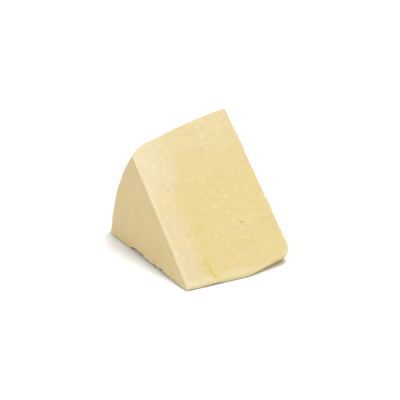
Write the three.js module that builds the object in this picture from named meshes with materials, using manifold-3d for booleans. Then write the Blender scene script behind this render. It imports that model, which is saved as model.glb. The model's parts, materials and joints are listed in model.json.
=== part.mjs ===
// A chunk of hard sheep's milk cheese, cut by knife from the end of a tall wheel with a rounded side.
// Millimetres, +Z up. The origin is the middle of the box round the chunk, at the height of the table.
//
// The wheel's axis runs along +X. The chunk lies on its lower cut, with its apex edge, where the two long
// cuts meet near the wheel's axis, along the low-Y side. The upper cut leans back over the lower one. The
// low-X end is the flat rind of the wheel's end, the high-Y side is the rind of the wheel's side, and the
// high-X end is the crosswise cut that parted this piece from the rest of the wheel.

import * as THREE from "three";
import { ImprovedNoise } from "three/addons/math/ImprovedNoise.js";
import { mergeVertices } from "three/addons/utils/BufferGeometryUtils.js";
import Module from "manifold-3d";

const degrees = THREE.MathUtils.degToRad;

// The wheel
const FLAT_RADIUS = 108.5; // where the wheel's flat end begins to turn into its side
const SHOULDER_RISE = 4.8; // the rounded shoulder lifts the radius by this much
const SHOULDER_RUN = 10.8; // over this stretch of the axis
const SIDE_RISE = 16.9; // further lift of the radius on the way to the crosswise cut
const SIDE_CROWN = 1.8; // of the side over a straight cone
const AXIS_DROP = 20.6; // the lower cut passed this far over the wheel's axis
const EDGE_PAST_AXIS = 2.5; // and ended this far short of it, where it met the upper one

// The cuts
const THICKNESS = 75.0; // along the wheel's axis, flat rind to crosswise cut
const WEDGE_ANGLE = degrees(40.0); // between the two long cuts
const FLAT_SKEW = Math.tan(degrees(2.0)); // the wheel's end isn't quite square to its axis

// Worn edges, as the radius of each rounding
const APEX_ROUND = 1.7;
const SIDE_EDGE_ROUND = 1.8; // where a long cut meets the wheel's side
const FLAT_EDGE_ROUND = 1.4; // where the flat rind meets a long cut
const SHOULDER_EDGE_ROUND = 0.4; // where it meets the shoulder, which is rounded in itself
const FLAT_CORNER_ROUND = 2.4; // where it meets the apex edge
const FLAT_CORNER_FADE = 6.0; // that larger rounding fades along the cuts over this distance
const CUT_EDGE_ROUND = 1.4; // where the crosswise cut meets the other faces
const CUT_CORNER_ROUND = 4.0; // where it meets the apex edge, which is crumbled away there
const CUT_CORNER_FADE = 30.0;
const CRUMBLED_APEX_GROWTH = 3.5; // the apex edge's rounding grows by this much towards that corner
const CRUMBLED_APEX_RUN = 32.0; // over this stretch
const CORNER_REACH = 10.0; // the larger roundings are whole up to this distance from the sharp apex edge

// Unevenness of the surface, as half heights and the width of one swelling
const CUT_SWELL = 0.35;
const RIND_SWELL = 0.4;
const SWELL_WIDTH = 17.0;
const CURD_GRAIN = 0.15;
const GRAIN_WIDTH = 4.6;
const BARE_HEIGHT = 3.0; // the relief fades out over this height above the table

// Chips broken off the edge where the flat rind stands on the table: place along the edge, then size
const FOOT_CHIPS = [
  { y: 90.0, length: 20.0, height: 1.0, depth: 1.8 },
  { y: 68.0, length: 20.0, height: 2.0, depth: 2.4 },
  { y: 60.7, length: 4.0, height: 2.2, depth: 2.4 },
  { y: 45.0, length: 18.0, height: 1.0, depth: 2.2 },
  { y: 36.0, length: 4.0, height: 2.0, depth: 2.8 },
  { y: 23.0, length: 16.0, height: 0.7, depth: 2.0 },
];

// A crack in the upper cut, which hooks round and runs down to the apex edge: places along the axis and up
// the cut from the sharp apex edge, and the crack's half width there
const CRACK = [
  { along: 16.2, fromApex: 15.5, halfWidth: 1.2 },
  { along: 17.6, fromApex: 16.7, halfWidth: 1.3 },
  { along: 19.2, fromApex: 16.1, halfWidth: 1.4 },
  { along: 19.3, fromApex: 14.1, halfWidth: 1.2 },
  { along: 19.4, fromApex: 12.3, halfWidth: 1.3 },
  { along: 19.7, fromApex: 10.4, halfWidth: 1.3 },
  { along: 19.9, fromApex: 8.6, halfWidth: 1.2 },
];

// Single losses: where the crack comes out under the apex edge, under the crumbled corner, on the edge of
// the crosswise cut, and a pit in the upper cut
const CRACK_MOUTH = { at: new THREE.Vector3(18.0, 4.4, 0.0), halfSize: new THREE.Vector3(8.0, 2.2, 1.2) };
const CORNER_CHIP = { at: new THREE.Vector3(75.0, 9.0, 0.0), halfSize: new THREE.Vector3(13.0, 8.0, 3.6) };
const EDGE_NOTCH = { at: onUpperCut(THICKNESS, 51.9), halfSize: new THREE.Vector3(1.2, 1.6, 1.6) };
const PIT = { at: onUpperCut(51.5, 37.0), halfSize: new THREE.Vector3(1.3, 1.3, 1.3) };

// The lumps that broke away
const LUMP_ROUGHNESS = 0.3; // as a share of their size
const LUMP_BUMPS = 1.7; // over their half size

// Mesh
const APEX_POINTS = 9;
const CORNER_POINTS = 4;
const SIDE_POINTS = 13;
const LOWER_CUT_POINTS = 9;
const UPPER_CUT_POINTS = 25;
const BODY_RINGS = 22;
const SHOULDER_CROWDING = 1.5; // rings stand closer together at the wheel's shoulder
const ROUNDING_RINGS = 4;
const END_RING_SHARES = [0.85, 0.67, 0.49, 0.31, 0.14];
const END_MIDDLE = [0.62, 0.2]; // y and z that an end's rings close in on, as shares of the wheel's radius

const { clamp, lerp, smoothstep } = THREE.MathUtils;
const noise = new ImprovedNoise();
const quarterTurn = Math.PI / 2;

// The wheel's radius at a distance along its axis from its flat end.
function wheelRadius(along) {
  const leftOfShoulder = clamp(1 - along / SHOULDER_RUN, 0, 1);
  const share = along / THICKNESS;
  const shoulder = SHOULDER_RISE * Math.sqrt(1 - leftOfShoulder ** 2);
  return FLAT_RADIUS + shoulder + SIDE_RISE * share + SIDE_CROWN * 4 * share * (1 - share);
}

// A place on the upper cut, along the wheel's axis and up from the sharp apex edge.
function onUpperCut(along, fromApex) {
  return new THREE.Vector3(along, fromApex * Math.cos(WEDGE_ANGLE), fromApex * Math.sin(WEDGE_ANGLE));
}

// Points on an arc of the section, each with its outward normal.
function arc(centre, radius, from, to, count, onSide = false) {
  return Array.from({ length: count }, (_, n) => {
    const angle = lerp(from, to, n / (count - 1));
    const normal = new THREE.Vector2(Math.cos(angle), Math.sin(angle));
    return { place: normal.clone().multiplyScalar(radius).add(centre), normal, onSide };
  });
}

// Points strictly between two arcs, on the straight line of a cut.
function straight(from, to, count) {
  return Array.from({ length: count }, (_, n) => {
    const place = from.place.clone().lerp(to.place, (n + 1) / (count + 1));
    return { place, normal: from.normal.clone(), onSide: false };
  });
}

// The chunk's outline across the wheel's axis, as (y, z) from the sharp apex edge: round the apex, out along
// the lower cut, up the side, back down the upper cut.
function section(along) {
  const wheelCentre = new THREE.Vector2(-EDGE_PAST_AXIS, -AXIS_DROP);
  const radius = wheelRadius(along);
  const innerRadius = radius - SIDE_EDGE_ROUND;
  const upTheCut = new THREE.Vector2(Math.cos(WEDGE_ANGLE), Math.sin(WEDGE_ANGLE));
  const intoTheCut = new THREE.Vector2(upTheCut.y, -upTheCut.x);

  const growth = clamp(1 - (THICKNESS - along) / CRUMBLED_APEX_RUN, 0, 1) ** 2;
  const apexRound = APEX_ROUND + CRUMBLED_APEX_GROWTH * growth;
  const apexCentre = new THREE.Vector2(apexRound / Math.tan(WEDGE_ANGLE / 2), apexRound);

  const lowerReach = Math.sqrt(innerRadius ** 2 - (AXIS_DROP + SIDE_EDGE_ROUND) ** 2);
  const lowerCentre = new THREE.Vector2(lowerReach - EDGE_PAST_AXIS, SIDE_EDGE_ROUND);

  const offset = intoTheCut.clone().multiplyScalar(SIDE_EDGE_ROUND).sub(wheelCentre);
  const projected = offset.dot(upTheCut);
  const upperReach = Math.sqrt(projected ** 2 - offset.lengthSq() + innerRadius ** 2) - projected;
  const upperCentre = upTheCut.clone().multiplyScalar(upperReach);
  upperCentre.addScaledVector(intoTheCut, SIDE_EDGE_ROUND);

  const overCut = WEDGE_ANGLE + quarterTurn;
  const lowerTurn = lowerCentre.clone().sub(wheelCentre).angle();
  const upperTurn = upperCentre.clone().sub(wheelCentre).angle();

  const apex = arc(apexCentre, apexRound, overCut, 3 * quarterTurn, APEX_POINTS);
  const lowerCorner = arc(lowerCentre, SIDE_EDGE_ROUND, -quarterTurn, lowerTurn, CORNER_POINTS);
  const side = arc(wheelCentre, radius, lowerTurn, upperTurn, SIDE_POINTS, true).slice(1, -1);
  const upperCorner = arc(upperCentre, SIDE_EDGE_ROUND, upperTurn, overCut, CORNER_POINTS);
  const lowerCut = straight(apex.at(-1), lowerCorner[0], LOWER_CUT_POINTS);
  const upperCut = straight(upperCorner.at(-1), apex[0], UPPER_CUT_POINTS);
  return [...apex, ...lowerCut, ...lowerCorner, ...side, ...upperCorner, ...upperCut];
}

// Height of the surface over the chunk's even form. What lies on the table has none.
function relief(place, normal) {
  const rindShare = Math.max(smoothstep(-normal.x, 0.5, 0.9), smoothstep(normal.y, 0.2, 0.6));
  const swell = place.clone().divideScalar(SWELL_WIDTH);
  const grain = place.clone().divideScalar(GRAIN_WIDTH);
  const height =
    lerp(CUT_SWELL, RIND_SWELL, rindShare) * noise.noise(swell.x, swell.y, swell.z) +
    CURD_GRAIN * noise.noise(grain.x, grain.y, grain.z);
  return height * smoothstep(place.z, 0.1, BARE_HEIGHT);
}

// The rings that the skin is drawn over, from the middle of the flat rind to the middle of the crosswise cut.
// A ring's turn is its angle round the edge of an end, and its share is what it keeps of that end's outline.
function rings() {
  const end = (side, turn, share) => ({ side, turn, share, body: side < 0 ? 0 : 1 });
  const rounding = Array.from({ length: ROUNDING_RINGS + 1 }, (_, n) => (n / ROUNDING_RINGS) * quarterTurn);
  const body = Array.from({ length: BODY_RINGS - 1 }, (_, n) => {
    return { side: 0, turn: 0, share: 1, body: ((n + 1) / BODY_RINGS) ** SHOULDER_CROWDING };
  });
  return [
    ...END_RING_SHARES.toReversed().map((share) => end(-1, quarterTurn, share)),
    ...rounding.toReversed().map((turn) => end(-1, turn, 1)),
    ...body,
    ...rounding.map((turn) => end(1, turn, 1)),
    ...END_RING_SHARES.map((share) => end(1, quarterTurn, share)),
  ];
}

// The rounding of each end's edge at a point of the outline. Near the apex edge it grows into a worn corner.
function endRounding({ place, onSide }) {
  const beyond = Math.max(0, place.length() - CORNER_REACH);
  const flatEdge = onSide ? SHOULDER_EDGE_ROUND : FLAT_EDGE_ROUND;
  return {
    flat: lerp(flatEdge, FLAT_CORNER_ROUND, Math.exp(-beyond / FLAT_CORNER_FADE)),
    crosswise: lerp(CUT_EDGE_ROUND, CUT_CORNER_ROUND, Math.exp(-beyond / CUT_CORNER_FADE)),
  };
}

// A point of the skin: the ring's point of the outline, set in by the rounding of the end's edge.
function skinPoint(ring, index) {
  const { flat, crosswise } = endRounding(section(0)[index]);
  const endRound = ring.side > 0 ? crosswise : flat;
  const towardsEnd = ring.side * Math.sin(ring.turn);
  const along = lerp(flat, THICKNESS - crosswise, ring.body) + endRound * towardsEnd;

  const { place: outline, normal: facing } = section(along)[index];
  const set = endRound * (1 - Math.cos(ring.turn));
  const inPlane = outline.clone().addScaledVector(facing, -set);
  const middle = new THREE.Vector2(...END_MIDDLE).multiplyScalar(wheelRadius(along));
  inPlane.lerp(middle, 1 - ring.share);

  const skew = FLAT_SKEW * inPlane.x * (1 - along / THICKNESS);
  const place = new THREE.Vector3(along + skew, inPlane.x, inPlane.y);
  const acrossEnd = Math.cos(ring.turn);
  const normal = new THREE.Vector3(towardsEnd, facing.x * acrossEnd, facing.y * acrossEnd);
  return place.addScaledVector(normal, relief(place, normal));
}

// The chunk before its chips: a skin of quads over the rings, closed by a fan in the middle of each end.
function wornWedge() {
  const stations = rings();
  const count = section(0).length;
  const places = stations.flatMap((ring) => Array.from({ length: count }, (_, n) => skinPoint(ring, n)));
  const faces = [];
  for (let ring = 0; ring < stations.length - 1; ring++) {
    for (let n = 0; n < count; n++) {
      const [a, b] = [ring * count + n, ring * count + ((n + 1) % count)];
      faces.push(a, b, b + count, a, b + count, a + count);
    }
  }
  const lastRing = places.length - count;
  const flatMiddle = places.push(centre(places.slice(0, count))) - 1;
  const cutMiddle = places.push(centre(places.slice(lastRing, lastRing + count))) - 1;
  for (let n = 0; n < count; n++) {
    const next = (n + 1) % count;
    faces.push(flatMiddle, next, n);
    faces.push(cutMiddle, lastRing + n, lastRing + next);
  }
  const skin = new THREE.BufferGeometry().setFromPoints(places);
  skin.setIndex(faces);
  return skin;
}

function centre(places) {
  return places.reduce((sum, place) => sum.add(place), new THREE.Vector3()).divideScalar(places.length);
}

// A broken-edged lump, the form that a chip leaves behind: a ball with blunt facets, stretched to its size.
function lump(at, halfSize, seed) {
  const ball = new THREE.IcosahedronGeometry(1, 1);
  ball.deleteAttribute("normal");
  ball.deleteAttribute("uv");
  const shape = mergeVertices(ball);
  const position = shape.getAttribute("position");
  const corner = new THREE.Vector3();
  for (let n = 0; n < position.count; n++) {
    corner.fromBufferAttribute(position, n);
    const bump = corner.clone().multiplyScalar(LUMP_BUMPS);
    const rough = 1 + LUMP_ROUGHNESS * noise.noise(bump.x + seed, bump.y, bump.z);
    corner.multiplyScalar(rough).multiply(halfSize).add(at);
    position.setXYZ(n, corner.x, corner.y, corner.z);
  }
  return shape;
}

// Every lump that is missing from the chunk.
function losses() {
  const foot = FOOT_CHIPS.map(({ y, length, height, depth }) => {
    const halfSize = new THREE.Vector3(depth, length / 2, height);
    return { at: new THREE.Vector3(FLAT_SKEW * y, y, 0), halfSize };
  });
  const crack = CRACK.map(({ along, fromApex, halfWidth }) => {
    return { at: onUpperCut(along, fromApex), halfSize: new THREE.Vector3().setScalar(halfWidth) };
  });
  const all = [...foot, ...crack, CRACK_MOUTH, CORNER_CHIP, EDGE_NOTCH, PIT];
  return all.map(({ at, halfSize }, seed) => lump(at, halfSize, seed));
}

const wasm = await Module();
wasm.setup();

function solid(geometry) {
  const vertProperties = new Float32Array(geometry.getAttribute("position").array);
  const triVerts = new Uint32Array(geometry.getIndex().array);
  return new wasm.Manifold(new wasm.Mesh({ numProp: 3, vertProperties, triVerts }));
}

// The whole chunk, with its box centred on the origin and its lower cut at Z = 0.
function cheese() {
  const chipped = losses().reduce((body, loss) => body.subtract(solid(loss)), solid(wornWedge()));
  const { vertProperties, triVerts } = chipped.getMesh();
  const geometry = new THREE.BufferGeometry();
  geometry.setAttribute("position", new THREE.BufferAttribute(vertProperties, 3));
  geometry.setIndex(new THREE.BufferAttribute(triVerts, 1));
  geometry.computeBoundingBox();
  const middle = geometry.boundingBox.getCenter(new THREE.Vector3());
  geometry.translate(-middle.x, -middle.y, -geometry.boundingBox.min.z);
  geometry.computeVertexNormals();
  return geometry;
}

const chunk = new THREE.Group();
const paste = new THREE.MeshStandardMaterial({ color: 0xeedb9d, roughness: 0.6, metalness: 0 });
const wedge = new THREE.Mesh(cheese(), paste);
wedge.name = "cheese";
chunk.add(wedge);

export default chunk;
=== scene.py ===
import json
from math import cos, exp, pi, radians, sin, sqrt, tan

import bmesh
import bpy
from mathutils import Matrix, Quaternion, Vector

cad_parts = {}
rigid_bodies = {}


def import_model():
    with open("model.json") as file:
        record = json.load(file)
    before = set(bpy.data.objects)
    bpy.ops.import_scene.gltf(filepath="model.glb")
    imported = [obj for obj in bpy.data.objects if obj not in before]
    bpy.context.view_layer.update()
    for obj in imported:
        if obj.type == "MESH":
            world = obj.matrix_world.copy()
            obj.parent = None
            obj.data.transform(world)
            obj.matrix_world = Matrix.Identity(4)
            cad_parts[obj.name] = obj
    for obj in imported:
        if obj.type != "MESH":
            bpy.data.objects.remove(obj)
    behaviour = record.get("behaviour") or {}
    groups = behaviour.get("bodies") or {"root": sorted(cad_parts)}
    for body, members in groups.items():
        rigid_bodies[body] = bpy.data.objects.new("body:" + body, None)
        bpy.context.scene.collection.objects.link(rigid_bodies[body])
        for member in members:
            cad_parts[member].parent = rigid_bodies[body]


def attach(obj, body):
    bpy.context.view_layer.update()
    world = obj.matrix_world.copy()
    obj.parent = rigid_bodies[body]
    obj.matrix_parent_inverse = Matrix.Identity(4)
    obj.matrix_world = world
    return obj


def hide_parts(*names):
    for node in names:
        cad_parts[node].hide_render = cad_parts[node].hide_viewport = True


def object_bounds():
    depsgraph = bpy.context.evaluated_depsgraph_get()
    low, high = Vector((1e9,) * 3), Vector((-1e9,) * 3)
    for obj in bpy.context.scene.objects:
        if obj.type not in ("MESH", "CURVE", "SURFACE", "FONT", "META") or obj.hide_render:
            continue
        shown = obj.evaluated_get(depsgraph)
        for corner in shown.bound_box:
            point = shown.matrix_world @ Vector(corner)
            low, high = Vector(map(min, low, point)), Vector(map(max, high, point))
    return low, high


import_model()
cad_low, cad_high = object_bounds()
bpy.ops.object.select_all(action="DESELECT")

# ---------------------------------------------------------------------------------------------------------
# The table the chunk lies on: a wide sheet of matt white acrylic, lit so strongly that it turns pure white
# a little way from the chunk. It isn't part of the object.
# ---------------------------------------------------------------------------------------------------------
TABLE_SIZE = 9.0
TABLE_UNDER_CHUNK = 0.00004  # a hair below the chunk, so that the two faces don't share a plane
TABLE_WHITE = (0.93, 0.93, 0.93, 1)
TABLE_ROUGHNESS = 0.8
TABLE_SPECULAR = 0.1

bpy.ops.mesh.primitive_plane_add(size=TABLE_SIZE, location=(0, 0, -TABLE_UNDER_CHUNK))
table = bpy.context.object
table.name = "table"
white_acrylic = bpy.data.materials.new("white acrylic")
white_acrylic.use_nodes = True
table_shader = white_acrylic.node_tree.nodes["Principled BSDF"]
table_shader.inputs["Base Color"].default_value = TABLE_WHITE
table_shader.inputs["Roughness"].default_value = TABLE_ROUGHNESS
table_shader.inputs["Specular IOR Level"].default_value = TABLE_SPECULAR
table.data.materials.append(white_acrylic)

# ---------------------------------------------------------------------------------------------------------
# The light: a bright tent all round, and one soft lamp nearly overhead, a little to the right and in front,
# which leaves the upright rind on the left in half shade.
# ---------------------------------------------------------------------------------------------------------
TENT_COLOUR = (0.98, 0.99, 1.02, 1)
TENT_STRENGTH = 0.745
LAMP_SIZE = 0.9
LAMP_DISTANCE = 3.0
LAMP_AZIMUTH = radians(33)  # from -Y towards +X
LAMP_HEIGHT = radians(77)
LAMP_POWER = 46.5
LAMP_TARGET = (0, 0, 0.03)

studio = bpy.data.worlds.new("studio")
studio.use_nodes = True
tent = studio.node_tree.nodes["Background"]
tent.inputs["Color"].default_value = TENT_COLOUR
tent.inputs["Strength"].default_value = TENT_STRENGTH
bpy.context.scene.world = studio


def aim(thing, place, target, roll=0):
    """Puts a lamp or the camera at a place, looking at the target, rolled about its own axis."""
    thing.location = place
    upright = (Vector(target) - Vector(place)).to_track_quat("-Z", "Y")
    thing.rotation_euler = (upright @ Quaternion((0, 0, 1), roll)).to_euler()


bpy.ops.object.light_add(type="AREA")
lamp = bpy.context.object
lamp.name = "soft lamp"
lamp.data.shape = "DISK"
lamp.data.size = LAMP_SIZE
lamp.data.energy = LAMP_POWER
towards_lamp = Vector((
    sin(LAMP_AZIMUTH) * cos(LAMP_HEIGHT),
    -cos(LAMP_AZIMUTH) * cos(LAMP_HEIGHT),
    sin(LAMP_HEIGHT),
))
aim(lamp, towards_lamp * LAMP_DISTANCE, LAMP_TARGET)

# ---------------------------------------------------------------------------------------------------------
# The camera: a long lens, a good metre away, that looks down on the front left corner of the chunk and is
# rolled by a hair.
# ---------------------------------------------------------------------------------------------------------
VIEW_AZIMUTH = radians(29.3)  # from -Y towards -X
VIEW_HEIGHT = radians(21.0)
VIEW_ROLL = radians(-0.6)
VIEW_DISTANCE = 1.235
VIEW_TARGET = Vector((-0.0021, -0.0144, 0.0336))
LENS = 188.9
FILM_WIDTH = 36
NEAREST_SEEN = 0.05
FURTHEST_SEEN = 50

bpy.ops.object.camera_add()
camera = bpy.context.object
camera.data.lens = LENS
camera.data.sensor_width = FILM_WIDTH
camera.data.clip_start = NEAREST_SEEN
camera.data.clip_end = FURTHEST_SEEN
towards_camera = Vector((
    -sin(VIEW_AZIMUTH) * cos(VIEW_HEIGHT),
    -cos(VIEW_AZIMUTH) * cos(VIEW_HEIGHT),
    sin(VIEW_HEIGHT),
))
aim(camera, VIEW_TARGET + towards_camera * VIEW_DISTANCE, VIEW_TARGET, VIEW_ROLL)
bpy.context.scene.camera = camera
bpy.context.scene.view_settings.view_transform = "Standard"

# ---------------------------------------------------------------------------------------------------------
# The wheel: a tall wheel of hard sheep's milk cheese, pressed in a round mould, with a side that leans out
# and a rounded shoulder. Its axis lies along X, under the table top, and only the stretch that the chunk was
# cut from is made.
# ---------------------------------------------------------------------------------------------------------
FLAT_RADIUS = 0.1085  # where the flat end begins to turn into the side
SHOULDER_RISE = 0.0048
SHOULDER_RUN = 0.0108
SIDE_RISE = 0.0169
SIDE_CROWN = 0.0018
AXIS_DROP = 0.0206  # the lower cut passed this far over the wheel's axis
EDGE_PAST_AXIS = 0.0025  # and ended this far short of it, where it met the upper one
THICKNESS = 0.075  # of the chunk, from the flat end to the crosswise cut
FLAT_SKEW = radians(2.0)  # the flat end isn't quite square to the axis
FRONT_WORN_OFF = 0.00014  # how far the worn front of the flat end stays back, along X
APEX_WORN_OFF = 0.00286  # and the worn apex edge, along Y
SHARP_EDGE = Vector((cad_low.x - FRONT_WORN_OFF, cad_low.y - APEX_WORN_OFF, 0))  # where the cuts would meet
WHEEL_SIDES = 360
SHOULDER_STEPS = 8
SIDE_STEPS = 8
PAST_THE_CUT = 0.004  # how much more of the wheel is made than the chunk is thick
SNAP = 1e-6  # how near a plane a corner has to be to lie on it


def wheel_radius(along):
    """The wheel's radius at a distance along its axis from its flat end."""
    short_of_side = min(max(1 - along / SHOULDER_RUN, 0), 1)
    share = along / THICKNESS
    shoulder = SHOULDER_RISE * sqrt(1 - short_of_side**2)
    return FLAT_RADIUS + shoulder + SIDE_RISE * share + SIDE_CROWN * 4 * share * (1 - share)


def pick(piece, kind, wanted):
    """Selects, in edit mode, the verts, edges or faces that the test wants."""
    bpy.ops.mesh.select_mode(type={"verts": "VERT", "edges": "EDGE", "faces": "FACE"}[kind])
    bpy.ops.mesh.select_all(action="DESELECT")
    mesh = bmesh.from_edit_mesh(piece.data)
    for part in getattr(mesh, kind):
        part.select_set(wanted(part))
    mesh.select_flush_mode()
    bmesh.update_edit_mesh(piece.data)


shoulder_stops = [SHOULDER_RUN * (1 - cos(pi / 2 * n / SHOULDER_STEPS)) for n in range(SHOULDER_STEPS + 1)]
side_length = THICKNESS + PAST_THE_CUT - SHOULDER_RUN
side_stops = [SHOULDER_RUN + side_length * (n + 1) / SIDE_STEPS for n in range(SIDE_STEPS)]
stops = shoulder_stops + side_stops

bpy.ops.mesh.primitive_circle_add(
    vertices=WHEEL_SIDES,
    radius=wheel_radius(0),
    fill_type="NGON",
    location=(SHARP_EDGE.x, SHARP_EDGE.y - EDGE_PAST_AXIS, -AXIS_DROP),
    rotation=(0, pi / 2, 0),
)
chunk = bpy.context.object
chunk.name = chunk.data.name = "pecorino_chunk"
bpy.ops.object.transform_apply(location=True, rotation=True, scale=True)
bpy.ops.object.mode_set(mode="EDIT")
for stop, next_stop in zip(stops, stops[1:]):
    bpy.ops.mesh.extrude_region_move(TRANSFORM_OT_translate={"value": (next_stop - stop, 0, 0)})
    widening = wheel_radius(next_stop) / wheel_radius(stop)
    middle = (SHARP_EDGE.x + next_stop, SHARP_EDGE.y - EDGE_PAST_AXIS, -AXIS_DROP)
    bpy.ops.transform.resize(value=(1, widening, widening), center_override=middle)
for stop in stops:
    slant = FLAT_SKEW * (1 - stop / THICKNESS)
    pick(chunk, "verts", lambda v: abs(v.co.x - SHARP_EDGE.x - stop) < SNAP)
    middle = (SHARP_EDGE.x + stop, SHARP_EDGE.y, 0)
    bpy.ops.transform.rotate(value=slant, orient_axis="Z", center_override=middle)

# ---------------------------------------------------------------------------------------------------------
# The knife cuts: the lower one, on which the chunk lies, the upper one, and the crosswise one that parted
# the chunk from the rest of the wheel.
# ---------------------------------------------------------------------------------------------------------
WEDGE_ANGLE = radians(40.0)
CROSSWISE_SLANT = 0.010  # the crosswise cut comes in by this share of the way to the apex
FULL_THICKNESS_BACK = 0.085  # how far back the chunk is just as thick as it is named to be


def on_upper_cut(along, from_apex, above=0):
    """A place over the upper cut: along the wheel's axis, up from the sharp edge, and off the face."""
    up = from_apex * sin(WEDGE_ANGLE) + above * cos(WEDGE_ANGLE)
    back = from_apex * cos(WEDGE_ANGLE) - above * sin(WEDGE_ANGLE)
    return SHARP_EDGE + Vector((along, back, up))


def cut_off(place, facing):
    """Cuts off what lies beyond a flat cut, on the side that the cut faces, and closes the cut."""
    bpy.ops.mesh.select_all(action="SELECT")
    bpy.ops.mesh.bisect(plane_co=place, plane_no=facing, use_fill=True, clear_outer=True, threshold=SNAP)


cut_off(SHARP_EDGE, (0, 0, -1))
cut_off(SHARP_EDGE, (0, -sin(WEDGE_ANGLE), cos(WEDGE_ANGLE)))
cut_off(SHARP_EDGE + Vector((THICKNESS, FULL_THICKNESS_BACK, 0)), (1, -CROSSWISE_SLANT, 0))

# ---------------------------------------------------------------------------------------------------------
# Wear: handling has rounded every edge, most of all the narrow apex edge between the two long cuts. The
# right end of that edge has crumbled away, so that the corner there stands clear of the table.
# ---------------------------------------------------------------------------------------------------------
APEX_ROUND = 0.0017
APEX_PROFILE = 0.39  # the bevel profile that is nearest to an arc at so sharp an angle
APEX_STEPS = 10
APEX_SNAP = 1e-5  # how near the sharp edge a corner has to be to lie on it
EDGE_ROUND = 0.0015
EDGE_STEPS = 4
EDGE_PROFILE = 0.5  # an arc, where faces meet about squarely
SHARP_TURN = radians(40)
WORN_CORNERS = (  # where a flat break has taken a corner off, and which way it faces
    (on_upper_cut(0.0685, 0.0098), (0.25, -0.67, -0.70)),
    (on_upper_cut(0.0748, 0.0163), (0.86, -0.42, -0.28)),
    (on_upper_cut(0.0742, 0.1132), (0.60, 0.25, 0.76)),
    (on_upper_cut(0.0004, 0.0035), (-0.80, -0.60, 0.05)),
)

pick(chunk, "edges", lambda e: all(abs(v.co.y - SHARP_EDGE.y) < APEX_SNAP for v in e.verts))
bpy.ops.mesh.bevel(offset=APEX_ROUND / tan(WEDGE_ANGLE / 2), segments=APEX_STEPS, profile=APEX_PROFILE)
for place, facing in WORN_CORNERS:
    cut_off(place, facing)
bpy.ops.mesh.select_all(action="DESELECT")
bpy.ops.mesh.edges_select_sharp(sharpness=SHARP_TURN)
bpy.ops.mesh.bevel(offset=EDGE_ROUND, segments=EDGE_STEPS, profile=EDGE_PROFILE, clamp_overlap=True)
bpy.ops.mesh.select_all(action="SELECT")
bpy.ops.mesh.normals_make_consistent(inside=False)
bpy.ops.object.mode_set(mode="OBJECT")

# ---------------------------------------------------------------------------------------------------------
# The skin: a fine even mesh over the worn wedge. Its corners are softened where the paste has crumbled, and
# a few flakes of paste have lifted where the knife went through.
# ---------------------------------------------------------------------------------------------------------
SKIN_CELL = 0.00064
FACE_ON_TABLE = 0.0003  # all that is lower is pressed flat
TABLE_SKIN = 0.0001  # up to here the paste keeps the shape of the table
BARE_HEIGHT = 0.003  # and over this much more it comes free of it
SMOOTHING = 0.5
ROUNDS_ALL_OVER = 5
ROUNDS_WHERE_WORN = 45
WORN_NEAR_CUT = (0.006, 0.012)  # worn in full this near the crosswise cut, and less over this much more
WORN_NEAR_APEX = (0.010, 0.030)  # and the same for the sharp edge
WORN_TOP_CORNER = (0.0025, 0.0050)  # and for the top corner
TOP_CORNER = on_upper_cut(0.0745, 0.1128)
TOP_CORNER_WEAR = 0.4
FLAKE_HEIGHT = 0.0003
RELIEF = (  # name, how wide a swelling is, its detail, the whole height, and which level stays in place
    ("knife swell", 0.0170, 1, 0.00080, 0.7),
    ("curd lumps", 0.0046, 2, 0.00050, 0.5),
    ("curd grain", 0.0017, 2, 0.00024, 0.5),
)
LIFTED_FLAKES = (  # along the wheel's axis, up from the sharp edge, and how wide the flake is
    (0.0171, 0.0066, 0.0030),
    (0.0214, 0.0083, 0.0026),
    (0.0221, 0.0141, 0.0022),
    (0.0321, 0.0313, 0.0026),
    (0.0363, 0.0242, 0.0036),
    (0.0500, 0.0333, 0.0042),
    (0.0478, 0.0361, 0.0040),
    (0.0462, 0.0393, 0.0036),
    (0.0452, 0.0419, 0.0026),
    (0.0643, 0.0292, 0.0024),
    (0.0488, 0.0551, 0.0034),
    (0.0412, 0.0495, 0.0024),
    (0.0284, 0.0701, 0.0026),
    (0.0369, 0.0803, 0.0028),
    (0.0531, 0.0984, 0.0028),
)


def apply_modifier(piece, kind, **settings):
    """Adds a modifier with its settings and applies it."""
    modifier = piece.modifiers.new(kind.lower(), kind)
    for setting, value in settings.items():
        setattr(modifier, setting, value)
    bpy.ops.object.modifier_apply(modifier=modifier.name)


def weigh(piece, name, weight):
    """Makes a vertex group whose weights come from each vertex's place."""
    group = piece.vertex_groups.new(name=name)
    for vertex in piece.data.vertices:
        group.add([vertex.index], weight(vertex.co), "REPLACE")
    return name


def clouds(name, size, depth=2):
    """A cloudy texture whose swellings are about as wide as its size."""
    texture = bpy.data.textures.new(name, "CLOUDS")
    texture.noise_scale = size
    texture.noise_depth = depth
    return texture


def roughen(piece, texture, height, group="", middle=0.5):
    """Lifts and lowers the surface by a texture, by height from its lowest to its highest."""
    apply_modifier(
        piece,
        "DISPLACE",
        texture=texture,
        texture_coords="LOCAL",
        direction="NORMAL",
        strength=height,
        mid_level=middle,
        vertex_group=group,
    )


def faded(distance, whole, fade):
    """All of it up to a distance, and then less and less of it to none."""
    return min(max(1 - (distance - whole) / fade, 0), 1)


def worn_share(place):
    """How much a place has worn: most near the apex edge at the crosswise cut, less up that cut's edges, and
    a little more again at its top corner."""
    from_cut = SHARP_EDGE.x + THICKNESS - place.x
    from_apex = sqrt((place.y - SHARP_EDGE.y) ** 2 + place.z**2)
    whole, fade = WORN_NEAR_APEX
    cut_share = faded(from_cut, *WORN_NEAR_CUT) * exp(-max(from_apex - whole, 0) / fade)
    return max(cut_share, TOP_CORNER_WEAR * faded((place - TOP_CORNER).length, *WORN_TOP_CORNER))


def off_the_table(place):
    """None on the table, all of it from a few millimetres up."""
    return min(max((place.z - TABLE_SKIN) / BARE_HEIGHT, 0), 1)


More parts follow.
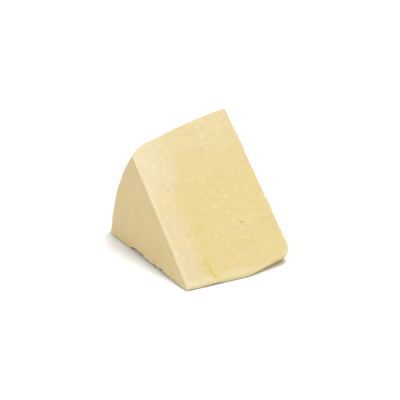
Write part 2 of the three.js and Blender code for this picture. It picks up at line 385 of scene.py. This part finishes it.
flakes = [(on_upper_cut(along, up), width) for along, up, width in LIFTED_FLAKES]


def on_a_flake(place):
    """All of it in the middle of a lifted flake, none at its rim."""
    return max(max(1 - (place - middle).length / (width / 2), 0) for middle, width in flakes)


apply_modifier(chunk, "REMESH", mode="VOXEL", voxel_size=SKIN_CELL, use_smooth_shade=True)
bpy.ops.object.mode_set(mode="EDIT")
pick(chunk, "verts", lambda v: v.co.z < FACE_ON_TABLE)
bpy.ops.transform.resize(value=(1, 1, 0), center_override=(0, 0, 0))
bpy.ops.object.mode_set(mode="OBJECT")
apply_modifier(chunk, "SMOOTH", factor=SMOOTHING, iterations=ROUNDS_ALL_OVER)
worn = weigh(chunk, "worn", worn_share)
apply_modifier(chunk, "SMOOTH", factor=SMOOTHING, iterations=ROUNDS_WHERE_WORN, vertex_group=worn)
free = weigh(chunk, "free", off_the_table)
roughen(chunk, None, FLAKE_HEIGHT, weigh(chunk, "flakes", on_a_flake), middle=0)
for name, size, detail, height, middle in RELIEF:
    roughen(chunk, clouds(name, size, detail), height, free, middle)

# ---------------------------------------------------------------------------------------------------------
# The paste and the rind: straw-yellow paste with a fine curd grain, pits and pale crystals, paler and drier
# for two or three centimetres under the flat end, and then deeper in colour for a little. The rind is a
# thin, dry, tan skin, and freshly torn paste is a deep yellow.
# ---------------------------------------------------------------------------------------------------------
PASTE = (0.687, 0.558, 0.254, 1)
DEEP_PASTE = (0.680, 0.551, 0.226, 1)
DRY_PASTE = (0.695, 0.584, 0.324, 1)
ROSY_PASTE = (0.725, 0.573, 0.329, 1)
# pale dry paste near the rinds, also the colour of the painted highlight along the rind's edge and of the
# painted light along the apex edge
PALE_PASTE_AND_HIGHLIGHT = (0.736, 0.634, 0.387, 1)
# pale worn paste, also standing in as painted light from the table on the crumbled corner
WORN_AND_TABLE_LIT_PASTE = (0.743, 0.658, 0.448, 1)
TORN_PASTE = (0.698, 0.553, 0.204, 1)
CRYSTAL = (0.770, 0.676, 0.421, 1)
RIND = (0.752, 0.582, 0.297, 1)
YELLOWER_RIND = (0.733, 0.587, 0.276, 1)
CHIPPED_RIND = (0.855, 0.750, 0.513, 1)
CHEESE_ROUGHNESS = 0.55
CHEESE_SPECULAR = 0.3
LET_IN = 0.25  # the share of the light that goes in under the surface
LET_IN_COLOURS = (1.0, 0.65, 0.3)
LET_IN_DEPTH = 0.003

# Fades: the value where each starts, the value where it ends, and the shares at both, or else none and all.
BAND_LOW = 0.0168  # how wide the dry band is far below the side's rind
BAND_HIGH = 0.0300  # and near it
BAND_WIDTH = (0.045, 0.010, BAND_LOW, BAND_HIGH)  # by the depth under the side
BAND_END = (-0.0062, 0.0055, 1.0, 0.0)  # of the dry band, by the distance past its width
DEEP_END = (0.002, 0.014, 1.0, 0.0)  # and of the deep colour beyond it
DEEP_PATCH = (0.0, 0.22, 0.0, 0.6)  # by a cloud, as are the next two
ROSY_PATCH = (-0.10, 0.14, 0.0, 0.8)
YELLOW_PATCH = (-0.10, 0.12)
DRY_UNDER_SIDE = (0.048, 0.002, 0.0, 0.75)  # by the depth under the side, as is the next
PALE_UNDER_SIDE = (0.045, 0.015, 0.0, 0.9)
PALE_UNDER_END = (0.030, 0.006)  # by the depth under the flat end, as is the next
# a pale strip along the rind's edge on the cut: partly dry paste, partly a painted highlight where the
# rounded edge catches the lamp
PALE_EDGE_AND_HIGHLIGHT = (0.0040, 0.0016, 0.0, 0.85)
# painted light: the worn, rounded apex edge made paler, as if lit by light thrown up from the table
APEX_TABLE_LIGHT = (0.0105, 0.0065, 0.0, 0.5)  # by the distance from the sharp edge
GRAIN_WHERE_DRY = (0.0, 1.0, 0.85, 1.15)  # by the dryness
FACING_OUT = (0.55, 0.85)  # by how squarely the surface faces out
IN_THE_RIND = (0.0016, 0.0024, 1.0, 0.0)  # by the depth under it
CHIPPED_HEIGHT = (0.0052, 0.0026)  # by the height over the table
SPOT_SIZES = (0.0, 1.0, 0.5, 1.3)  # by chance
SPOT_RIM = (0.5, 1.0, 1.0, 0.0)  # by the distance from a spot's middle, in half widths
MARK_CORE = 0.2  # how far a marked spot reaches in full, as a share of its width
MARK_RIM = 0.5  # and where it ends

# Clouds of unevenness: how wide one swelling is, its detail, and its whole height, in metres where it shifts
# an edge or is a relief, and otherwise as a share.
RAGGED = (0.010, 3.0, 0.010)  # how the edge of the dry band wanders
FRAYED = (0.0018, 3.0, 0.010)  # and how it frays
FRAYED_EDGE = 0.25  # how much of that the pale edge, with its painted highlight, has
DEEP_CLOUD = (0.0080, 2.0, 1.0)
ROSY_CLOUD = (0.0042, 2.0, 1.0)
YELLOW_CLOUD = (0.009, 2.0, 1.0)
FINE_GRAIN = (0.0013, 2.0, 0.16)
COARSE_GRAIN = (0.0032, 2.0, 0.14)
BLOTCHES = (0.011, 2.0, 0.07)
FINE_RELIEF = (0.0009, 3.0, 0.00018)
COARSE_RELIEF = (0.0032, 2.0, 0.00030)
RIND_BLOTCHES = (0.016, 3.0, 0.10)
RIND_GRAIN = (0.0014, 2.0, 0.10)
RIND_RELIEF = (0.0012, 3.0, 0.00016)
RIND_MARKS = (0.0012, 2.0, 0.10)
MARKS_STRETCH = (1, 1, 0.12)  # the mould has left fine streaks that slant across the rind
MARKS_TURN = (radians(55), 0, 0)
MARKS_DEPTH = 0.0008  # how deep a full streak would be

# Scattered spots, how strongly each kind shows, and how they stray from round: how wide the swirls are, and
# how far they reach.
LARGE_CRYSTALS = {"Spacing": 0.0062, "Width": 0.0026, "Share": 0.4}
SMALL_CRYSTALS = {"Spacing": 0.0036, "Width": 0.0018, "Share": 0.4}
PITS = {"Spacing": 0.0026, "Width": 0.0010, "Share": 0.4}
CHIPS = {"Spacing": 0.0019, "Width": 0.0018, "Share": 0.6}
CRYSTAL_SHOW = 0.40
CRYSTAL_HEIGHT = 0.00006
FLAKE_SHOW = 0.42
# how strongly the worn paste and painted light on the crumbled corner show
WORN_AND_LIT_CORNER_SHOW = 0.8
PIT_SHOW = 0.35
PIT_DEPTH = 0.00018
STAIN_SHOW = 0.9
WIDE_STRAY = (0.0024, 0.0040)
CLOSE_STRAY = (0.0008, 0.0014)
CHIP_STRAY = (0.0010, 0.0026)
WORN_AND_TABLE_LIT_CORNER = (  # where the crumbled corner is paler, from dried, worn paste and from painted light from the table under it, and how wide
    (0.0640, 0.0058, 0.0060),
    (0.0675, 0.0078, 0.0075),
    (0.0705, 0.0098, 0.0085),
    (0.0730, 0.0123, 0.0085),
    (0.0748, 0.0153, 0.0075),
)
CRACK_STAINS = (  # where the paste is a deeper yellow beside the crack, and how wide
    (0.0163, 0.0153, 0.0046),
    (0.0186, 0.0167, 0.0056),
    (0.0196, 0.0135, 0.0050),
    (0.0182, 0.0107, 0.0046),
    (0.0199, 0.0091, 0.0052),
    (0.0216, 0.0075, 0.0056),
)


def feed(tree, socket, value):
    """Sets an input to a number or colour, or joins another node's output to it."""
    if isinstance(value, bpy.types.NodeSocket):
        tree.links.new(value, socket)
    else:
        socket.default_value = value


def maths(tree, operation, *values):
    """The result of a sum on numbers and outputs."""
    node = tree.nodes.new("ShaderNodeMath")
    node.operation = operation
    for socket, value in zip(node.inputs, values):
        feed(tree, socket, value)
    return node.outputs[0]


def together(tree, operation, first, *others):
    """The result of the same sum on a whole row of numbers and outputs."""
    for other in others:
        first = maths(tree, operation, first, other)
    return first


def ramp(tree, value, start, end, low=0.0, high=1.0):
    """Goes smoothly from low to high as the value goes from start to end."""
    node = tree.nodes.new("ShaderNodeMapRange")
    node.interpolation_type = "SMOOTHSTEP"
    settings = {"Value": value, "From Min": start, "From Max": end, "To Min": low, "To Max": high}
    for name, setting in settings.items():
        feed(tree, node.inputs[name], setting)
    return node.outputs["Result"]


def vector_maths(tree, operation, *values):
    """The result of a sum on places, colours and outputs."""
    node = tree.nodes.new("ShaderNodeVectorMath")
    node.operation = operation
    for socket, value in zip(node.inputs, values):
        feed(tree, socket, value)
    return node.outputs["Value" if operation == "DISTANCE" else "Vector"]


def split(tree, place):
    """The three parts of a place."""
    node = tree.nodes.new("ShaderNodeSeparateXYZ")
    tree.links.new(place, node.inputs[0])
    return node.outputs


def surface_place(tree, stretch=(1, 1, 1), turn=(0, 0, 0)):
    """The place on the piece, turned and stretched."""
    node = tree.nodes.new("ShaderNodeMapping")
    tree.links.new(tree.nodes.new("ShaderNodeTexCoord").outputs["Object"], node.inputs["Vector"])
    node.inputs["Rotation"].default_value = turn
    node.inputs["Scale"].default_value = stretch
    return node.outputs["Vector"]


def cloud(tree, place, size, detail, height):
    """Soft noise with swellings of that size, half the height up and down."""
    node = tree.nodes.new("ShaderNodeTexNoise")
    feed(tree, node.inputs["Vector"], place)
    node.inputs["Scale"].default_value = 1 / size
    node.inputs["Detail"].default_value = detail
    return maths(tree, "MULTIPLY", maths(tree, "SUBTRACT", node.outputs["Fac"], 0.5), height)


def stray(tree, place, size, reach):
    """The place shifted this way and that, by half the reach at most, so that what lies there is ragged."""
    swirl = tree.nodes.new("ShaderNodeTexNoise")
    swirl.inputs["Scale"].default_value = 1 / size
    tree.links.new(place, swirl.inputs["Vector"])
    half = reach / 2
    shift = vector_maths(tree, "MULTIPLY_ADD", swirl.outputs["Color"], (reach,) * 3, (-half,) * 3)
    return vector_maths(tree, "ADD", place, shift)


def blend(tree, share, first, second):
    """Mixes two colours."""
    node = tree.nodes.new("ShaderNodeMix")
    node.data_type = "RGBA"
    feed(tree, node.inputs["Factor"], share)
    feed(tree, node.inputs[6], first)
    feed(tree, node.inputs[7], second)
    return node.outputs[2]


def shaded(tree, colour, light):
    """A colour made lighter or darker by a share that changes over the surface."""
    return vector_maths(tree, "MULTIPLY", colour, maths(tree, "ADD", light, 1.0))


def new_group(name, inputs=(), outputs=()):
    """A shader node group with named sockets, and its input and output nodes."""
    group = bpy.data.node_groups.new(name, "ShaderNodeTree")
    for socket, kind in inputs:
        group.interface.new_socket(socket, in_out="INPUT", socket_type=kind)
    for socket, kind in outputs:
        group.interface.new_socket(socket, in_out="OUTPUT", socket_type=kind)
    return group, group.nodes.new("NodeGroupInput"), group.nodes.new("NodeGroupOutput")


def use_group(tree, group, **values):
    """Places a group among other nodes, with its own values, and gives its outputs."""
    node = tree.nodes.new("ShaderNodeGroup")
    node.node_tree = group
    for name, value in values.items():
        feed(tree, node.inputs[name], value)
    return node.outputs


# How deep a place lies under the rind of the flat end and under that of the wheel's side, in metres, and
# how squarely the surface there faces out through each.
depth_group, _, depth_out = new_group(
    "depth under the rind",
    outputs=(
        ("From End", "NodeSocketFloat"),
        ("From Side", "NodeSocketFloat"),
        ("Facing End", "NodeSocketFloat"),
        ("Facing Side", "NodeSocketFloat"),
    ),
)
tree = depth_group
parts = split(tree, surface_place(tree))
facing = split(tree, tree.nodes.new("ShaderNodeNewGeometry").outputs["Normal"])
back = maths(tree, "SUBTRACT", parts["Y"], SHARP_EDGE.y)
back_of_axis = maths(tree, "ADD", back, EDGE_PAST_AXIS)
height = maths(tree, "ADD", parts["Z"], AXIS_DROP)
from_edge = maths(tree, "SUBTRACT", parts["X"], SHARP_EDGE.x)
share = maths(tree, "DIVIDE", from_edge, THICKNESS)
rest = maths(tree, "SUBTRACT", 1.0, share)
from_end = maths(tree, "SUBTRACT", from_edge, together(tree, "MULTIPLY", back, rest, tan(FLAT_SKEW)))
short = maths(tree, "SUBTRACT", 1.0, maths(tree, "DIVIDE", from_end, SHOULDER_RUN))
short = maths(tree, "MAXIMUM", maths(tree, "MINIMUM", short, 1.0), 0.0)
bow = maths(tree, "SQRT", maths(tree, "SUBTRACT", 1.0, maths(tree, "POWER", short, 2.0)))
shoulder = maths(tree, "MULTIPLY", bow, SHOULDER_RISE)
lean = maths(tree, "MULTIPLY", share, SIDE_RISE)
crown = together(tree, "MULTIPLY", share, rest, 4 * SIDE_CROWN)
radius = together(tree, "ADD", FLAT_RADIUS, shoulder, lean, crown)
back_squared = maths(tree, "POWER", back_of_axis, 2.0)
height_squared = maths(tree, "POWER", height, 2.0)
from_axis = maths(tree, "SQRT", maths(tree, "ADD", back_squared, height_squared))
outward_back = maths(tree, "MULTIPLY", facing["Y"], back_of_axis)
outward_up = maths(tree, "MULTIPLY", facing["Z"], height)
facing_end = maths(tree, "MULTIPLY", facing["X"], -1.0)
facing_side = maths(tree, "DIVIDE", maths(tree, "ADD", outward_back, outward_up), from_axis)
facing_shoulder = maths(tree, "MULTIPLY", maths(tree, "ADD", facing_end, facing_side), sqrt(0.5))
tree.links.new(from_end, depth_out.inputs["From End"])
tree.links.new(maths(tree, "SUBTRACT", radius, from_axis), depth_out.inputs["From Side"])
tree.links.new(facing_end, depth_out.inputs["Facing End"])
tree.links.new(maths(tree, "MAXIMUM", facing_side, facing_shoulder), depth_out.inputs["Facing Side"])

# Small spots, scattered through the paste: only the given share of the cells between them has one.
spots_group, spots_in, spots_out = new_group(
    "scattered spots",
    inputs=(
        ("Place", "NodeSocketVector"),
        ("Spacing", "NodeSocketFloat"),
        ("Width", "NodeSocketFloat"),
        ("Share", "NodeSocketFloat"),
    ),
    outputs=(("Mask", "NodeSocketFloat"),),
)
tree = spots_group
cells = tree.nodes.new("ShaderNodeTexVoronoi")
tree.links.new(spots_in.outputs["Place"], cells.inputs["Vector"])
tree.links.new(maths(tree, "DIVIDE", 1.0, spots_in.outputs["Spacing"]), cells.inputs["Scale"])
chance = tree.nodes.new("ShaderNodeSeparateColor")
tree.links.new(cells.outputs["Color"], chance.inputs[0])
has_spot = maths(tree, "LESS_THAN", chance.outputs[0], spots_in.outputs["Share"])
size = ramp(tree, chance.outputs[1], *SPOT_SIZES)
half_width = together(tree, "MULTIPLY", 0.5, spots_in.outputs["Width"], size)
half_width = maths(tree, "DIVIDE", half_width, spots_in.outputs["Spacing"])
spot = ramp(tree, maths(tree, "DIVIDE", cells.outputs["Distance"], half_width), *SPOT_RIM)
tree.links.new(maths(tree, "MULTIPLY", spot, has_spot), spots_out.inputs["Mask"])


def marked_spots(tree, place, spots):
    """A mask that is one in the middle of each of some spots on the upper cut, and none at their rims."""
    masks = []
    for along, up, width in spots:
        distance = vector_maths(tree, "DISTANCE", place, on_upper_cut(along, up))
        masks.append(ramp(tree, distance, width * MARK_CORE, width * MARK_RIM, 1.0, 0.0))
    return together(tree, "MAXIMUM", *masks)


# The colour and relief of the paste, as it changes with the depth under the rind, with painted light along
# the rind's edge, along the apex edge and on the crumbled corner.
curd_group, curd_in, curd_out = new_group(
    "curd",
    inputs=(
        ("Fresh", "NodeSocketColor"),
        ("Deep", "NodeSocketColor"),
        ("Dry", "NodeSocketColor"),
        ("Rosy", "NodeSocketColor"),
    ),
    outputs=(("Color", "NodeSocketColor"), ("Height", "NodeSocketFloat")),
)
tree = curd_group
place = surface_place(tree)
depth = use_group(tree, depth_group)
ragged = cloud(tree, place, *RAGGED)
frayed = cloud(tree, place, *FRAYED)
edge = together(tree, "ADD", depth["From End"], ragged, frayed)
past_band = maths(tree, "SUBTRACT", edge, ramp(tree, depth["From Side"], *BAND_WIDTH))
band = ramp(tree, past_band, *BAND_END)
side = ramp(tree, maths(tree, "ADD", depth["From Side"], ragged), *DRY_UNDER_SIDE)
dryness = maths(tree, "MAXIMUM", band, side)
patchy = ramp(tree, cloud(tree, place, *DEEP_CLOUD), *DEEP_PATCH)
deepness = maths(tree, "MAXIMUM", ramp(tree, past_band, *DEEP_END), patchy)
colour = blend(tree, deepness, curd_in.outputs["Fresh"], curd_in.outputs["Deep"])
rosiness = ramp(tree, cloud(tree, place, *ROSY_CLOUD), *ROSY_PATCH)
dry = blend(tree, rosiness, curd_in.outputs["Dry"], curd_in.outputs["Rosy"])
under_side = ramp(tree, depth["From Side"], *PALE_UNDER_SIDE)
under_end = ramp(tree, depth["From End"], *PALE_UNDER_END)
dry = blend(tree, together(tree, "MULTIPLY", band, under_side, under_end), dry, PALE_PASTE_AND_HIGHLIGHT)
colour = blend(tree, dryness, colour, dry)
# Painted highlight: a pale strip along the rind's edge, partly dry paste and partly the light that the
# rounded edge catches.
frayed_depth = maths(tree, "ADD", depth["From End"], maths(tree, "MULTIPLY", frayed, FRAYED_EDGE))
edge_highlight_share = ramp(tree, frayed_depth, *PALE_EDGE_AND_HIGHLIGHT)
# Painted light: the rounded apex edge made paler, as if lit from the table under it.
from_apex = vector_maths(tree, "DISTANCE", surface_place(tree, stretch=(0, 1, 1)), (0, SHARP_EDGE.y, 0))
apex_light_share = ramp(tree, maths(tree, "ADD", from_apex, ragged), *APEX_TABLE_LIGHT)
colour = blend(tree, maths(tree, "MAXIMUM", edge_highlight_share, apex_light_share), colour, PALE_PASTE_AND_HIGHLIGHT)

grain = maths(tree, "ADD", cloud(tree, place, *FINE_GRAIN), cloud(tree, place, *COARSE_GRAIN))
grain = maths(tree, "MULTIPLY", grain, ramp(tree, dryness, *GRAIN_WHERE_DRY))
colour = shaded(tree, colour, maths(tree, "ADD", grain, cloud(tree, place, *BLOTCHES)))

strayed = stray(tree, stray(tree, place, *WIDE_STRAY), *CLOSE_STRAY)
large = use_group(tree, spots_group, Place=strayed, **LARGE_CRYSTALS)["Mask"]
small = use_group(tree, spots_group, Place=strayed, **SMALL_CRYSTALS)["Mask"]
crystals = maths(tree, "MAXIMUM", large, small)
crystal_share = maths(tree, "MULTIPLY", crystals, CRYSTAL_SHOW)
flake_share = maths(tree, "MULTIPLY", marked_spots(tree, strayed, LIFTED_FLAKES), FLAKE_SHOW)
colour = blend(tree, maths(tree, "MAXIMUM", crystal_share, flake_share), colour, CRYSTAL)
# Painted light: the crumbled corner that stands clear of the table is made paler, as if lit from the table,
# over its worn paste.
worn_and_lit_corner = maths(tree, "MULTIPLY", marked_spots(tree, strayed, WORN_AND_TABLE_LIT_CORNER), WORN_AND_LIT_CORNER_SHOW)
colour = blend(tree, worn_and_lit_corner, colour, WORN_AND_TABLE_LIT_PASTE)
pits = use_group(tree, spots_group, Place=place, **PITS)["Mask"]
pit_share = maths(tree, "MULTIPLY", pits, PIT_SHOW)
stain_share = maths(tree, "MULTIPLY", marked_spots(tree, strayed, CRACK_STAINS), STAIN_SHOW)
colour = blend(tree, maths(tree, "MAXIMUM", pit_share, stain_share), colour, TORN_PASTE)
tree.links.new(colour, curd_out.inputs["Color"])
relief = together(
    tree,
    "ADD",
    cloud(tree, place, *FINE_RELIEF),
    cloud(tree, place, *COARSE_RELIEF),
    maths(tree, "MULTIPLY", pits, -PIT_DEPTH),
    maths(tree, "MULTIPLY", crystals, CRYSTAL_HEIGHT),
)
tree.links.new(relief, curd_out.inputs["Height"])


def cheese_material(name):
    """A new material with the soft, slightly waxy gloss of hard cheese."""
    material = bpy.data.materials.new(name)
    material.use_nodes = True
    shader = material.node_tree.nodes["Principled BSDF"]
    shader.inputs["Roughness"].default_value = CHEESE_ROUGHNESS
    shader.inputs["Specular IOR Level"].default_value = CHEESE_SPECULAR
    shader.inputs["Subsurface Weight"].default_value = LET_IN
    shader.inputs["Subsurface Radius"].default_value = LET_IN_COLOURS
    shader.inputs["Subsurface Scale"].default_value = LET_IN_DEPTH
    return material, material.node_tree, shader


def bump(tree, height):
    """A bump node over a height in metres."""
    node = tree.nodes.new("ShaderNodeBump")
    node.inputs["Distance"].default_value = 1.0
    tree.links.new(height, node.inputs["Height"])
    return node.outputs["Normal"]


cut_cheese, tree, shader = cheese_material("cut paste and rind")
curd = use_group(tree, curd_group, Fresh=PASTE, Deep=DEEP_PASTE, Dry=DRY_PASTE, Rosy=ROSY_PASTE)
depth = use_group(tree, depth_group)
place = surface_place(tree)
end_faces = ramp(tree, depth["Facing End"], *FACING_OUT)
end_rind = maths(tree, "MULTIPLY", end_faces, ramp(tree, depth["From End"], *IN_THE_RIND))
side_faces = ramp(tree, depth["Facing Side"], *FACING_OUT)
side_rind = maths(tree, "MULTIPLY", side_faces, ramp(tree, depth["From Side"], *IN_THE_RIND))
rind_share = maths(tree, "MAXIMUM", end_rind, side_rind)
marks = cloud(tree, surface_place(tree, MARKS_STRETCH, MARKS_TURN), *RIND_MARKS)
mottle = together(tree, "ADD", cloud(tree, place, *RIND_BLOTCHES), cloud(tree, place, *RIND_GRAIN), marks)
yellower = ramp(tree, cloud(tree, place, *YELLOW_CLOUD), *YELLOW_PATCH)
rind_colour = shaded(tree, blend(tree, yellower, RIND, YELLOWER_RIND), mottle)
chips = use_group(tree, spots_group, Place=stray(tree, place, *CHIP_STRAY), **CHIPS)["Mask"]
near_foot = ramp(tree, split(tree, place)["Z"], *CHIPPED_HEIGHT)
chipped = together(tree, "MULTIPLY", end_rind, chips, near_foot)
rind_colour = blend(tree, chipped, rind_colour, CHIPPED_RIND)
tree.links.new(blend(tree, rind_share, curd["Color"], rind_colour), shader.inputs["Base Color"])
marks_relief = maths(tree, "MULTIPLY", marks, MARKS_DEPTH)
relief = tree.nodes.new("ShaderNodeMix")
tree.links.new(rind_share, relief.inputs["Factor"])
tree.links.new(curd["Height"], relief.inputs["A"])
tree.links.new(maths(tree, "ADD", cloud(tree, place, *RIND_RELIEF), marks_relief), relief.inputs["B"])
tree.links.new(bump(tree, relief.outputs["Result"]), shader.inputs["Normal"])

torn_cheese, tree, shader = cheese_material("torn paste")
curd = use_group(tree, curd_group, Fresh=TORN_PASTE, Deep=TORN_PASTE, Dry=PASTE, Rosy=PASTE)
tree.links.new(curd["Color"], shader.inputs["Base Color"])
tree.links.new(bump(tree, curd["Height"]), shader.inputs["Normal"])

chunk.data.materials.clear()
chunk.data.materials.append(cut_cheese)
chunk.data.materials.append(torn_cheese)

# ---------------------------------------------------------------------------------------------------------
# Breaks: where hard, dry paste has chipped, torn and cracked. The edge of the rind has torn away all along
# the table, a crack runs down to the apex edge, where a flake has gone from under it, and there are a pit, a
# notch and a few scratches.
# ---------------------------------------------------------------------------------------------------------
TORN_FOOT = (  # back from the sharp edge, and how high the edge stands clear of the table
    (0.0030, 0.0003),
    (0.0120, 0.0006),
    (0.0280, 0.0008),
    (0.0335, 0.0013),
    (0.0350, 0.0024),
    (0.0372, 0.0024),
    (0.0382, 0.0012),
    (0.0440, 0.0017),
    (0.0490, 0.0010),
    (0.0545, 0.0015),
    (0.0582, 0.0008),
    (0.0586, 0.0024),
    (0.0700, 0.0024),
    (0.0755, 0.0018),
    (0.0768, 0.0005),
    (0.0840, 0.0008),
    (0.0930, 0.0006),
    (0.1000, 0.0003),
)
TORN_DEPTH = 0.0085
TORN_CELL = 0.0004
TORN_LUMP = 0.0016  # how wide one swelling of the torn surface is
TORN_ROUGHNESS = 0.0009
GOUGES = (  # both ends along the wheel's axis and up from the sharp edge, half width, half depth, lumps
    ((0.0154, 0.0143), (0.0168, 0.0161), 0.00080, 0.00034, 4),
    ((0.0170, 0.0169), (0.0184, 0.0167), 0.00075, 0.00026, 4),
    ((0.0184, 0.0147), (0.0198, 0.0121), 0.00075, 0.00042, 6),
    ((0.0167, 0.0109), (0.0177, 0.0097), 0.00070, 0.00030, 4),
    ((0.0188, 0.0115), (0.0203, 0.0065), 0.00060, 0.00060, 10),
)
SCRATCHES = (  # the same
    ((0.0453, 0.0264), (0.0498, 0.0254), 0.00012, 0.00016, 22),
    ((0.0472, 0.0274), (0.0506, 0.0268), 0.00010, 0.00012, 20),
    ((0.0468, 0.0252), (0.0508, 0.0243), 0.00010, 0.00012, 22),
)
GOUGE_ROUGHNESS = 0.8
LOST_LUMPS = (  # name, place, half size, and roughness as a share of the smallest half size
    ("crack_mouth", SHARP_EDGE + Vector((0.0180, 0.0044, 0)), (0.0080, 0.0022, 0.0012), 0.5),
    ("pit", on_upper_cut(0.0515, 0.0369), (0.0010, 0.0007, 0.0008), 0.8),
    ("edge_notch", on_upper_cut(0.0743, 0.0515), (0.0013, 0.0012, 0.0020), 0.6),
)
LUMP_SWELLING = 1.5  # how wide one swelling of a lump is, as a share of the same
TORN_SLOT = 1  # the torn paste's place among the chunk's materials

breaks = bpy.data.collections.new("breaks")
bpy.context.scene.collection.children.link(breaks)


def keep_as_break(piece, name):
    """Gives a finished lump the look of torn paste, and puts it with all that breaks away."""
    piece.name = name
    piece.data.materials.clear()
    piece.data.materials.append(cut_cheese)
    piece.data.materials.append(torn_cheese)
    for face in piece.data.polygons:
        face.material_index = TORN_SLOT
    for home in list(piece.users_collection):
        home.objects.unlink(piece)
    breaks.objects.link(piece)


def broken_lump(name, place, half_size, coarse, turn=(0, 0, 0), fine=4):
    """A broken-edged lump, as rough as a share of its size."""
    bpy.ops.mesh.primitive_ico_sphere_add(
        subdivisions=fine, radius=1, location=place, rotation=turn, scale=half_size
    )
    lump = bpy.context.object
    bpy.ops.object.transform_apply(location=True, rotation=True, scale=True)
    least = min(half_size)
    roughen(lump, clouds(name, least * LUMP_SWELLING), least * coarse)
    keep_as_break(lump, name)


foot_y, foot_height = TORN_FOOT[0]
bpy.ops.mesh.primitive_plane_add(size=1, location=(0, 0, 0), rotation=(pi / 2, 0, 0))
torn_foot = bpy.context.object
bpy.ops.object.transform_apply(location=True, rotation=True, scale=True)
bpy.ops.object.mode_set(mode="EDIT")
bpy.ops.transform.resize(value=(2 * TORN_DEPTH, 1, 2 * foot_height))
face_x = SHARP_EDGE.x + foot_y * tan(FLAT_SKEW)
bpy.ops.transform.translate(value=(face_x, SHARP_EDGE.y + foot_y, 0))
for (back, height), (next_back, next_height) in zip(TORN_FOOT, TORN_FOOT[1:]):
    step = next_back - back
    bpy.ops.mesh.extrude_region_move(TRANSFORM_OT_translate={"value": (step * tan(FLAT_SKEW), step, 0)})
    middle = (SHARP_EDGE.x + next_back * tan(FLAT_SKEW), SHARP_EDGE.y + next_back, 0)
    bpy.ops.transform.resize(value=(1, 1, next_height / height), center_override=middle)
bpy.ops.mesh.select_all(action="SELECT")
bpy.ops.mesh.normals_make_consistent(inside=False)
bpy.ops.object.mode_set(mode="OBJECT")
apply_modifier(torn_foot, "REMESH", mode="VOXEL", voxel_size=TORN_CELL)
roughen(torn_foot, clouds("torn foot", TORN_LUMP, depth=3), TORN_ROUGHNESS)
keep_as_break(torn_foot, "torn_foot")

for n, (start, end, half_width, half_depth, lumps) in enumerate(GOUGES + SCRATCHES):
    for m in range(lumps):
        share = m / (lumps - 1)
        along = start[0] + (end[0] - start[0]) * share
        up = start[1] + (end[1] - start[1]) * share
        half_size = (half_width, half_width, half_depth)
        place = on_upper_cut(along, up)
        broken_lump(f"gouge_{n}_{m}", place, half_size, GOUGE_ROUGHNESS, turn=(WEDGE_ANGLE, 0, 0), fine=3)
for name, place, half_size, coarse in LOST_LUMPS:
    broken_lump(name, place, half_size, coarse)

bpy.ops.object.select_all(action="DESELECT")
chunk.select_set(True)
bpy.context.view_layer.objects.active = chunk
apply_modifier(
    chunk,
    "BOOLEAN",
    operation="DIFFERENCE",
    operand_type="COLLECTION",
    collection=breaks,
    solver="MANIFOLD",
    material_mode="TRANSFER",
)
for lump in list(breaks.objects):
    bpy.data.objects.remove(lump)
bpy.data.collections.remove(breaks)

# ---------------------------------------------------------------------------------------------------------
# The finish: the face on the table becomes a few large faces, as the lower cut is flat, and edges stay
# crisp where the paste has torn.
# ---------------------------------------------------------------------------------------------------------
ON_TABLE = 0.00001
SAME_PLANE = radians(1)
CRISP_EDGE = radians(42)

bpy.ops.object.mode_set(mode="EDIT")
pick(chunk, "faces", lambda f: all(v.co.z < ON_TABLE for v in f.verts))
bpy.ops.mesh.dissolve_limited(angle_limit=SAME_PLANE)
bpy.ops.object.mode_set(mode="OBJECT")
bpy.ops.object.shade_smooth_by_angle(angle=CRISP_EDGE)

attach(chunk, "root")
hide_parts("cheese")
